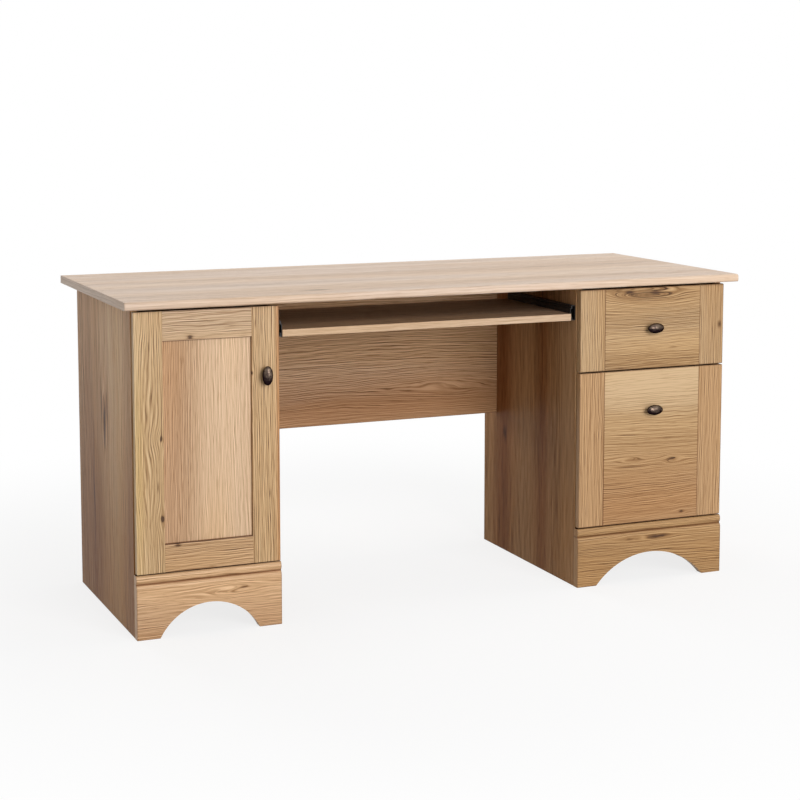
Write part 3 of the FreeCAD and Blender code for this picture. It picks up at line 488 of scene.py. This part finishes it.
# %% Dress the drawer fronts
dress_fronts([
    ("upper_drawer_front", "x", 36.2, (185, 151, 110),
     {"eyes": UPPER_EYES, "knots": UPPER_KNOTS, "sway": 0.05, "bands": 1.0, "fine": 2.0,
      "rims": 0.9, "outline": between_stiles("upper_drawer_front_stiles")}),
    ("upper_drawer_front_stiles", "z", 42.1, (192, 158, 117),
     {"knots": UPPER_STILE_KNOT, "stains_and_shade": UPPER_STILE_STAIN, "rims": 0.7}),
    ("file_drawer_front", "x", 39.7, (187, 154, 114),
     {"eyes": FILE_EYES, "knots": FILE_KNOTS, "stains_and_shade": FILE_STAINS, "sway": 0.05, "bands": 0.8,
      "fine": 1.8, "rims": 0.9, "outline": between_stiles("file_drawer_front_stiles")}),
    ("file_drawer_front_stiles", "z", 45.6, (186, 149, 110),
     {"knots": FILE_STILE_GLOW, "bands": 0.35, "rims": 0.7}),
])

# %% Dress the plinths
LEFT_EYES = [(-0.5386, 0.089, 0.045, 0.014, 0.9), (-0.484, 0.092, 0.045, 0.014, 0.9)]
LEFT_KNOTS = [(-0.541, 0.0885, 0.016, 0.0022, 0.5), (-0.486, 0.093, 0.014, 0.0022, 0.45)]
# the RIM line at the bead's foot is painted shade in the crease; the UMBER bell darkens the plinth
# towards the bottom
LEFT_STAINS_AND_CREASE_SHADE = [((-0.5645, 0.1205, 0.6, 0.0024, 0.85), RIM), ((-0.5645, 0.0, 0.6, 0.07, 0.4), UMBER)]
RIGHT_EYES = [(0.4755, 0.104, 0.05, 0.012, 1.1), (0.5581, 0.1045, 0.05, 0.012, 1.1)]
RIGHT_KNOTS = [(0.4755, 0.104, 0.018, 0.0025, 0.34), (0.5581, 0.1045, 0.016, 0.0025, 0.34)]
# the RIM line at the bead's foot is painted shade in the crease
RIGHT_CREASE_SHADE = [((0.531, 0.1205, 0.6, 0.0024, 0.85), RIM)]
dress_fronts([
    ("left_plinth", "x", 48.9, (216, 178, 139),
     {"eyes": LEFT_EYES, "knots": LEFT_KNOTS, "stains_and_shade": LEFT_STAINS_AND_CREASE_SHADE, "sway": 0.04, "fine": 1.9}),
    ("right_plinth", "x", 51.3, (178, 138, 92),
     {"eyes": RIGHT_EYES, "knots": RIGHT_KNOTS, "stains_and_shade": RIGHT_CREASE_SHADE, "sway": 0.04}),
])

# %% [markdown]
# ## Carcass and tray
# The end panels and inner uprights are tall boards with broad bands, and the left end shows a large knot.
# The camera sees them at a slant, so their hair lines are further apart, and their gloss is low, because
# a grey sheen would hide the print. The top is paler and smoother, with wide calm bands.

# %% Marks of the carcass
END_EYES = [(0.45, -0.020, 0.12, 0.045, 1.1)]
END_KNOTS = [(0.432, -0.018, 0.034, 0.010, 0.9), (0.460, -0.044, 0.05, 0.007, 0.6),
             (0.470, 0.008, 0.07, 0.007, 0.6), (0.390, -0.018, 0.03, 0.007, 0.7),
             (0.620, 0.060, 0.08, 0.005, 0.35), (0.250, 0.090, 0.12, 0.006, 0.35)]
# the two UMBER bells near the front edge, at -0.235 and -0.240, are a painted shade gradient; the BARK
# bell across the whole width darkens the panel towards the bottom; the others stain the print
END_STAINS_AND_SHADE = [((0.20, 0.110, 0.45, 0.12, 0.8), SMOKE), ((0.40, -0.235, 1.2, 0.028, 0.5), UMBER),
              ((0.05, 0.0, 0.35, 0.9, 0.85), BARK), ((0.20, -0.240, 0.22, 0.032, 0.35), UMBER),
              ((0.58, 0.048, 0.16, 0.006, 0.6), UMBER), ((0.60, 0.024, 0.16, 0.006, 0.5), UMBER),
              ((0.22, 0.035, 0.22, 0.045, 0.4), BARK), ((0.50, 0.150, 0.12, 0.020, 0.35), UMBER)]
FAR_END_EYES = [(0.300, 0.070, 0.13, 0.045, 1.0)]
FAR_END_KNOTS = [(0.305, 0.072, 0.026, 0.009, 0.7), (0.345, 0.045, 0.05, 0.006, 0.4),
                 (0.260, 0.098, 0.06, 0.006, 0.4), (0.580, -0.100, 0.10, 0.006, 0.3)]
INNER_KNOTS = [(0.305, 0.1115, 0.020, 0.010, 0.6), (0.30, -0.235, 0.6, 0.050, -0.3)]
# the BARK bell across the bottom is painted shade low in the knee space; the TEAK strips stain the print,
# and the pale bell in INNER_KNOTS makes the front edge lighter
INNER_STAINS_AND_SHADE = [((0.35, -0.094, 1.0, 0.035, 0.8), TEAK), ((0.35, 0.120, 1.0, 0.055, 0.9), TEAK),
                ((0.12, 0.0, 0.25, 0.9, 0.4), BARK)]
MODESTY_EYES = [(0.20, 0.424, 0.22, 0.034, 0.9), (-0.03, 0.390, 0.14, 0.014, 0.7)]
# painted shade: a darker band across the panel, where the knee space under the tray is in shade
MODESTY_SHADE = [((0.0, 0.39, 0.8, 0.09, 0.95), SMOKE)]
TOP_KNOTS = [(-0.30, -0.228, 0.03, 0.010, 0.35)]
print("marks on the left end panel", len(END_EYES + END_KNOTS + END_STAINS_AND_SHADE))

# %% Dress the carcass and the tray
UPRIGHT = {"bands": 0.9, "lines": 0.6, "apart": 0.012, "pitch": 0.0065, "gloss": 0.16}
INSIDE = (214, 180, 146)
CARCASS_BOARDS = [
    ("desktop", "x", "z", 3.1, (223, 197, 175),
     {"knots": TOP_KNOTS, "bands": 0.6, "lines": 0.35, "fine": 1.3, "apart": 0.016, "pitch": 0.008,
      "gloss": 0.4}),
    # painted shade: the tray's top and underside are darkened by half the gaps' painted shadow, as it
    # lies in the desktop's shade
    ("keyboard_tray", "x", "z", 5.7, (214, 184, 153), {"fine": 1.7, "apart": 0.016, "edge": 0.5}),
    ("left_end_panel", "z", "x", 8.3, (231, 186, 143),
     {**UPRIGHT, "eyes": END_EYES, "knots": END_KNOTS, "stains_and_shade": END_STAINS_AND_SHADE, "gloss": 0.08}),
    ("right_end_panel", "z", "x", 9.9, (198, 155, 113),
     {**UPRIGHT, "eyes": FAR_END_EYES, "knots": FAR_END_KNOTS, "lines": 0.45, "fine": 1.6}),
    ("left_inner_upright", "z", "x", 12.4, (180, 142, 102), UPRIGHT),
    ("right_inner_upright", "z", "x", 15.2, (179, 139, 99),
     {**UPRIGHT, "knots": INNER_KNOTS, "stains_and_shade": INNER_STAINS_AND_SHADE, "gloss": 0.06}),
    ("modesty_panel", "x", "y", 18.6, (205, 168, 131),
     {"eyes": MODESTY_EYES, "stains_and_shade": MODESTY_SHADE, "sway": 0.06, "lines": 0.6, "fine": 2.4,
      "gloss": 0.2}),
    ("cupboard_shelf", "x", "z", 54.7, INSIDE, {"lines": 0.3}),
    ("left_bottom_panel", "x", "z", 57.2, INSIDE, {"lines": 0.3}),
    ("right_bottom_panel", "x", "z", 60.9, INSIDE, {"lines": 0.3}),
]
for node, grain, face, seed, mid, marks in CARCASS_BOARDS:
    dress(oak(node, grain, face, seed, mid, **marks), node)
print("carcass boards", len(CARCASS_BOARDS))

# %% [markdown]
# ## Knobs
# Each knob is a cast oval on a short neck with a round foot, like an egg cut along its length. A lathe
# could turn a round one, but this one changes from a circle at the neck to an oval at the head, so its
# profile carries two half-widths for each depth. The profile is a smooth spline through a few measured
# points, and every ring is the ellipse of those two half-widths.

# %% The profile of a knob
# Each row is the distance from the foot, the narrow half-width and the wide one, in millimetres.
KNOB_PROFILE = np.array([
    (0.0, 7.4, 7.4), (0.0, 7.5, 7.5), (1.3, 7.6, 7.6), (2.1, 7.0, 7.0), (2.6, 5.2, 5.2), (5.0, 4.7, 4.7),
    (8.0, 4.9, 4.9), (9.8, 6.8, 9.0), (10.9, 10.8, 17.6), (12.8, 12.1, 21.2), (15.2, 12.0, 21.3),
    (18.6, 10.6, 18.8), (21.4, 7.2, 13.0), (22.9, 2.8, 5.3), (23.0, 0.3, 0.6)]) / 1000


def spline(points, count):
    """A cubic B-spline near a row of points: each place is a weighted mean of four neighbours."""
    padded = np.concatenate([points[:1], points[:1], points, points[-1:], points[-1:]])
    spans = len(padded) - 3
    where = np.linspace(0, spans, count)
    first = np.minimum(where.astype(int), spans - 1)
    t = (where - first)[:, None]
    weights = [(1 - t) ** 3, 3 * t**3 - 6 * t**2 + 4, -3 * t**3 + 3 * t**2 + 3 * t + 1, t**3]
    return sum(weight * padded[first + step] for step, weight in enumerate(weights)) / 6


print("knob stands proud by", KNOB_PROFILE[-1, 0], "metres")


# %% A closed surface from rings
def closed_rings(name, rings):
    """A closed mesh from rings of points: quads between rings, and a fan to a pole at each end."""
    rows, columns = rings.shape[:2]
    poles = np.array([rings[0].mean(0), rings[-1].mean(0)])
    points = np.concatenate([rings.reshape(-1, 3), poles])
    row, column = np.meshgrid(np.arange(rows - 1), np.arange(columns), indexing="ij")
    here, beside = row * columns + column, row * columns + (column + 1) % columns
    quads = np.stack([here, beside, beside + columns, here + columns], -1).reshape(-1, 4)
    around = np.arange(columns)
    ahead = (around + 1) % columns
    low = np.stack([np.full(columns, rows * columns), ahead, around], -1)
    top = (rows - 1) * columns
    high = np.stack([np.full(columns, rows * columns + 1), top + around, top + ahead], -1)
    mesh = bpy.data.meshes.new(name)
    mesh.from_pydata(points.tolist(), [], quads.tolist() + low.tolist() + high.tolist())
    mesh.polygons.foreach_set("use_smooth", np.ones(len(mesh.polygons), bool))
    piece = bpy.data.objects.new(name, mesh)
    bpy.context.scene.collection.objects.link(piece)
    return piece


print("rings can be closed")

# %% Model the knobs
KNOB_RINGS, RING_POINTS = 72, 64


def knob(name, node, body, lying):
    """An oval knob on a node's place: ring = centre + half-widths times cosine and sine."""
    low, high = np.array(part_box(node))
    middle = (low + high) / 2
    depth, narrow, wide = spline(KNOB_PROFILE, KNOB_RINGS).T[:, :, None]
    turn = np.linspace(0, 2 * np.pi, RING_POINTS, endpoint=False)[None]
    half_x, half_z = (wide, narrow) if lying else (narrow, wide)
    x = middle[0] + half_x * np.cos(turn)
    z = middle[2] + half_z * np.sin(turn)
    y = np.broadcast_to(high[1] - depth, x.shape)
    piece = closed_rings(name, np.stack([x, y, z], -1))
    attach(piece, body)
    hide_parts(node)
    print(name, "faces", len(piece.data.polygons))
    return piece


KNOBS = [knob("door_knob_cast", "door_knob", "door", False),
         knob("upper_drawer_knob_cast", "upper_drawer_knob", "upper_drawer", True),
         knob("file_drawer_knob_cast", "file_drawer_knob", "file_drawer", True)]

# %% [markdown]
# ## Bronze
# The knobs are cast metal with a dark brown patina. Hands rub it off where they touch, so the front shows
# a warmer metal. The upper side is painted in that warmer, lighter metal too, as a painted reflection of
# the light from above. A noise breaks the patina up, the distance from the drawer's face says where
# fingers reach, and the normal says which side is up.

# %% The bronze finish
FRONT_FACE = -0.277  # metres, where the knobs' feet stand
FINGERS_REACH = (0.008, 0.021)  # metres from there
LIT_UPPER_SIDE, WEAR_AND_SHEEN_STEP = (-0.7, 0.8), (0.6, 1.05)
PATINA, WORN_AND_SHEEN_METAL, BRONZE_SHEEN = colour(34, 23, 26), colour(136, 118, 102), colour(90, 76, 70)
CLOUDS, GRIT, BRONZE_DEPTH = 160, 900, 0.0003


def bronze(piece):
    """Patina: dark brown, mixed with warm metal where cloud + reach + the painted sheen of the upper side
    is high.
    """
    material, shader, start = start_material("bronze_" + piece.name)
    x, y, z = start.place()
    cloud = start.noise(x * CLOUDS, y * CLOUDS, z * CLOUDS, 3.0, 0.6)
    grit = start.noise(x * GRIT, y * GRIT, z * GRIT, 2.0)
    reach = (FRONT_FACE - y).between(*FINGERS_REACH)
    # painted reflection: the upper side shows lighter metal, as if lit from above
    upper = start.facing()[2].between(*LIT_UPPER_SIDE)
    wear_and_painted_sheen = (cloud * 0.6 + reach * 0.3 + upper * 0.3).between(*WEAR_AND_SHEEN_STEP)
    metal = start.mix(wear_and_painted_sheen, PATINA, WORN_AND_SHEEN_METAL)
    roughness = 0.32 - wear_and_painted_sheen * 0.08 + grit * 0.08
    finish_shader(start, shader, Base_Color=metal, Roughness=roughness, Metallic=1.0,
                  Specular_Tint=BRONZE_SHEEN, Normal=start.bump(cloud + grit * 0.5, BRONZE_DEPTH))
    return material


for piece in KNOBS:
    piece.data.materials.append(bronze(piece))
print("bronze on", [piece.name for piece in KNOBS])

# %% [markdown]
# ## Hardboard
# The backs and the drawer bottoms are hardboard: pressed brown fibre with a smooth face, flecked with
# longer fibres. A fine cloud gives the pulp. The flecks are the peaks of two stretched noises, one
# lying and one standing, because pressed fibres have no grain.

# %% The hardboard finish
PULP, FIBRE_LENGTH, FIBRE_WIDTH = 60, 90, 420  # waves per metre
FLECKS, PULP_TONES = (0.6, 0.72), (0.3, 0.7)


def hardboard():
    """Fibre: a fine cloud, plus flecks where a stretched noise peaks in either of two directions."""
    material, shader, start = start_material("hardboard")
    x, y, z = start.place()
    cloud = start.noise(x * PULP, y * PULP, z * PULP, 4.0, 0.65)
    across = y * FIBRE_WIDTH
    lying = start.noise(x * FIBRE_LENGTH, across, z * FIBRE_WIDTH, 1.0).between(*FLECKS)
    standing = start.noise(x * FIBRE_WIDTH, across, z * FIBRE_LENGTH, 1.0).between(*FLECKS)
    fleck = lying.maths("MAXIMUM", lying, standing)
    fibre = start.mix(cloud.between(*PULP_TONES), colour(146, 112, 80), colour(172, 138, 102))
    fibre = start.mix(fleck * 0.45, fibre, colour(104, 76, 54))
    finish_shader(start, shader, Base_Color=fibre, Roughness=0.62 + cloud * 0.2,
                  Normal=start.bump(cloud - fleck * 0.4, 0.0004, 0.2))
    return material


dress(hardboard(), "left_back_panel", "right_back_panel", "upper_drawer_bottom", "file_drawer_bottom")
print("hardboard on backs and drawer bottoms")

# %% [markdown]
# ## Drawer boxes and bare wood
# The drawer boxes are wrapped in a pale foil with a faint straight grain. Plinth blocks and dowels are
# bare softwood and beech. All of them are plain straight grain, so one function makes them from two
# colours and the axis that the grain follows.

# %% Foil and bare wood
BROAD_ALONG, BROAD_ACROSS, CLOSE_ACROSS = 2.0, 26, 420  # waves per metre
GRAIN_TONES = (0.34, 0.66)
FOIL = ((222, 205, 180), (196, 174, 144))


def straight_grain(name, axis, light, dark, close_along):
    """Faint grain along one axis: two stretched noises, one broad and one fine."""
    material, shader, start = start_material(name)
    place = start.place()
    along = AXIS[axis]
    broad = [part * (BROAD_ALONG if side == along else BROAD_ACROSS) for side, part in enumerate(place)]
    close = [part * (close_along if side == along else CLOSE_ACROSS) for side, part in enumerate(place)]
    figure = start.noise(*broad, 3.0) * 0.55 + start.noise(*close, 2.0) * 0.45
    wood = start.mix(figure.between(*GRAIN_TONES), colour(*light), colour(*dark))
    finish_shader(start, shader, Base_Color=wood, Roughness=0.46 + figure * 0.16,
                  Normal=start.bump(figure, 0.0004))
    return material


dress(straight_grain("drawer_foil", "y", *FOIL, 5), "upper_drawer_left_side", "upper_drawer_right_side",
      "file_drawer_left_side", "file_drawer_right_side")
dress(straight_grain("drawer_back_foil", "x", *FOIL, 5), "upper_drawer_back", "file_drawer_back")
dress(straight_grain("softwood", "z", (226, 192, 140), (194, 150, 100), 8), "plinth_blocks")
dress(straight_grain("beech", "x", (222, 190, 150), (200, 160, 118), 30), "dowels")
print("drawer boxes, blocks and dowels dressed")

# %% [markdown]
# ## Metal and plastic fittings
# Slides are rolled steel: the black pair under the tray is painted, the drawer slides are zinc plated
# and streaked along their length. Screws, cams and hinges are zinc too. Bumpers are clear grey rubber,
# and the hanging-file rails are dark moulded plastic. They differ in colour, streaks, metal and
# roughness, so one function takes those.

# %% Fittings
SPECKLE, FITTING_TONES = 1400, (0.32, 0.68)


def fitting(name, light, dark, scale, metallic, roughness):
    """Two tones by a noise of three different scales, with the same noise in roughness and bump."""
    material, shader, start = start_material(name)
    place = start.place()
    cloud = start.noise(*[part * waves for part, waves in zip(place, scale)], 3.0, 0.6)
    grit = start.noise(*[part * SPECKLE for part in place], 1.0)
    paint = start.mix(cloud.between(*FITTING_TONES), colour(*light), colour(*dark))
    rough = roughness + (cloud - 0.5) * 0.2 + grit * 0.06
    finish_shader(start, shader, Base_Color=paint, Roughness=rough, Metallic=metallic,
                  Normal=start.bump(grit + cloud * 0.5, 0.0002))
    return material


black_paint = fitting("black_paint", (34, 34, 36), (22, 22, 24), (220, 220, 220), 0.0, 0.42)
dress(black_paint, "tray_channels", "tray_runners")
rolled_zinc = fitting("rolled_zinc", (196, 198, 200), (160, 162, 166), (900, 12, 900), 0.85, 0.3)
dress(rolled_zinc, "upper_drawer_channels", "upper_drawer_runners", "file_drawer_channels",
      "file_drawer_runners", "file_slide_middles")
cast_zinc = fitting("cast_zinc", (198, 196, 190), (158, 156, 152), (300, 300, 300), 0.8, 0.36)
dress(cast_zinc, "carcass_screws", "cam_locks", "cam_bolts", "hinge_plates", "hinge_arms", "hinge_cups",
      "hinge_pins", "hinge_cup_screws", "shelf_pins", "door_knob_screw", "upper_drawer_knob_screw",
      "file_drawer_knob_screw", "upper_drawer_runner_screws", "file_drawer_runner_screws",
      "tray_runner_screws")
rubber = fitting("bumper_rubber", (206, 206, 200), (184, 184, 178), (500, 500, 500), 0.0, 0.5)
dress(rubber, "front_bumpers")
plastic = fitting("rail_plastic", (52, 46, 42), (38, 34, 32), (700, 700, 700), 0.0, 0.48)
dress(plastic, "file_rails")
print("nodes that only the cast knobs stand for:", [name for name in nodes if name not in dressed])

# %% [markdown]
# ## Floor and backdrop
# The desk stands on a plain white floor. Where it is seen, the floor is mostly its own white, with part
# of the real shading kept near the desk so its shadow shows. For the light that bounces it is grey, so
# that it doesn't flood the desk from below. The backdrop is the world: white where it is seen, and
# dimmer where it lights the desk.

# %% Lay the floor
FLOOR_REACH = 14.0  # metres
corners = [(-FLOOR_REACH, -FLOOR_REACH, 0), (FLOOR_REACH, -FLOOR_REACH, 0),
           (FLOOR_REACH, FLOOR_REACH, 0), (-FLOOR_REACH, FLOOR_REACH, 0)]
floor_mesh = bpy.data.meshes.new("floor")
floor_mesh.from_pydata(corners, [], [(0, 1, 2, 3)])
floor = bpy.data.objects.new("floor", floor_mesh)
bpy.context.scene.collection.objects.link(floor)
print("floor is", 2 * FLOOR_REACH, "metres wide")

# %% Paint the floor
WHITE, BOUNCE_GREY, SEEN_WHITE = (1, 1, 1, 1), colour(188, 188, 188), colour(252, 252, 252)
SHADE_FADES = (0.9, 1.9)  # metres from the desk's middle
NEAR_WHITE = 0.8  # share of plain white close to the desk


def seen_ray(start):
    """1 for rays that show the backdrop: from the camera, or by way of metal and glass."""
    path = start.make("LightPath").socket.node.outputs
    names = ("Is Camera Ray", "Is Glossy Ray", "Is Transmission Ray")
    camera_ray, glossy_ray, glass_ray = [Field(start.tree, path[name]) for name in names]
    seen = camera_ray + glossy_ray + glass_ray
    return seen.maths("MINIMUM", seen, 1.0)


def white_floor():
    """Shaded paint mixed with plain white, whose share grows with the distance from the desk."""
    material, shader, start = start_material("floor_paint")
    tree = material.node_tree
    tree.nodes.remove(shader)
    seen = seen_ray(start)
    x, y, _ = start.place()
    away = ((x * x + y * y) ** 0.5).between(*SHADE_FADES)
    paint = start.mix(seen, BOUNCE_GREY, SEEN_WHITE)
    shaded = start.make("BsdfDiffuse", inputs={"Color": paint})
    plain = start.make("Emission", inputs={"Color": WHITE, "Strength": 1.0})
    share = seen * (away * (1 - NEAR_WHITE) + NEAR_WHITE)
    mixed = start.make("MixShader", inputs={0: share, 1: shaded, 2: plain})
    start.feed(tree.nodes["Material Output"].inputs["Surface"], mixed)
    return material


floor_mesh.materials.append(white_floor())
print("floor painted")

# %% Light from the world
WORLD_LIGHT = 0.3
world = bpy.data.worlds.new("studio")
world.use_nodes = True
sky = Field(world.node_tree)
background = world.node_tree.nodes["Background"]
background.inputs["Color"].default_value = WHITE
sky.feed(background.inputs["Strength"], seen_ray(sky) * (1 - WORLD_LIGHT) + WORLD_LIGHT)
bpy.context.scene.world = world
print("world lights with", WORLD_LIGHT)

# %% [markdown]
# ## Lamps
# A product studio has one large soft lamp in front, which gives most of the light and the soft shadow
# behind. A weak one above lifts the top. One behind and one at the right light the sides that the first
# one leaves dark, so the desk can be turned round. Those two don't show in shiny surfaces.

# %% Hang the lamps
# Each has a name, its place, what it is turned to, its width in metres, its watts, and if it is mirrored.
LAMPS = [("key_lamp", (0.8, -5.2, 2.1), (0, -0.2, 0.4), 3.0, 197, True),
         ("top_lamp", (0.2, 0.2, 3.6), (0, 0, 0.7), 2.8, 19, True),
         ("back_lamp", (-1.2, 5.0, 2.0), (0, 0.2, 0.4), 2.6, 110, False),
         ("side_lamp", (5.0, -0.2, 1.9), (0.7, 0, 0.4), 2.6, 70, False)]
for name, place, target, width, watts, mirrored in LAMPS:
    light = bpy.data.lights.new(name, "AREA")
    light.size = width
    light.energy = watts
    lamp = bpy.data.objects.new(name, light)
    lamp.location = place
    lamp.rotation_euler = (Vector(target) - Vector(place)).to_track_quat("-Z", "Y").to_euler()
    lamp.visible_glossy = mirrored
    bpy.context.scene.collection.objects.link(lamp)
print("lamps", [lamp[0] for lamp in LAMPS])
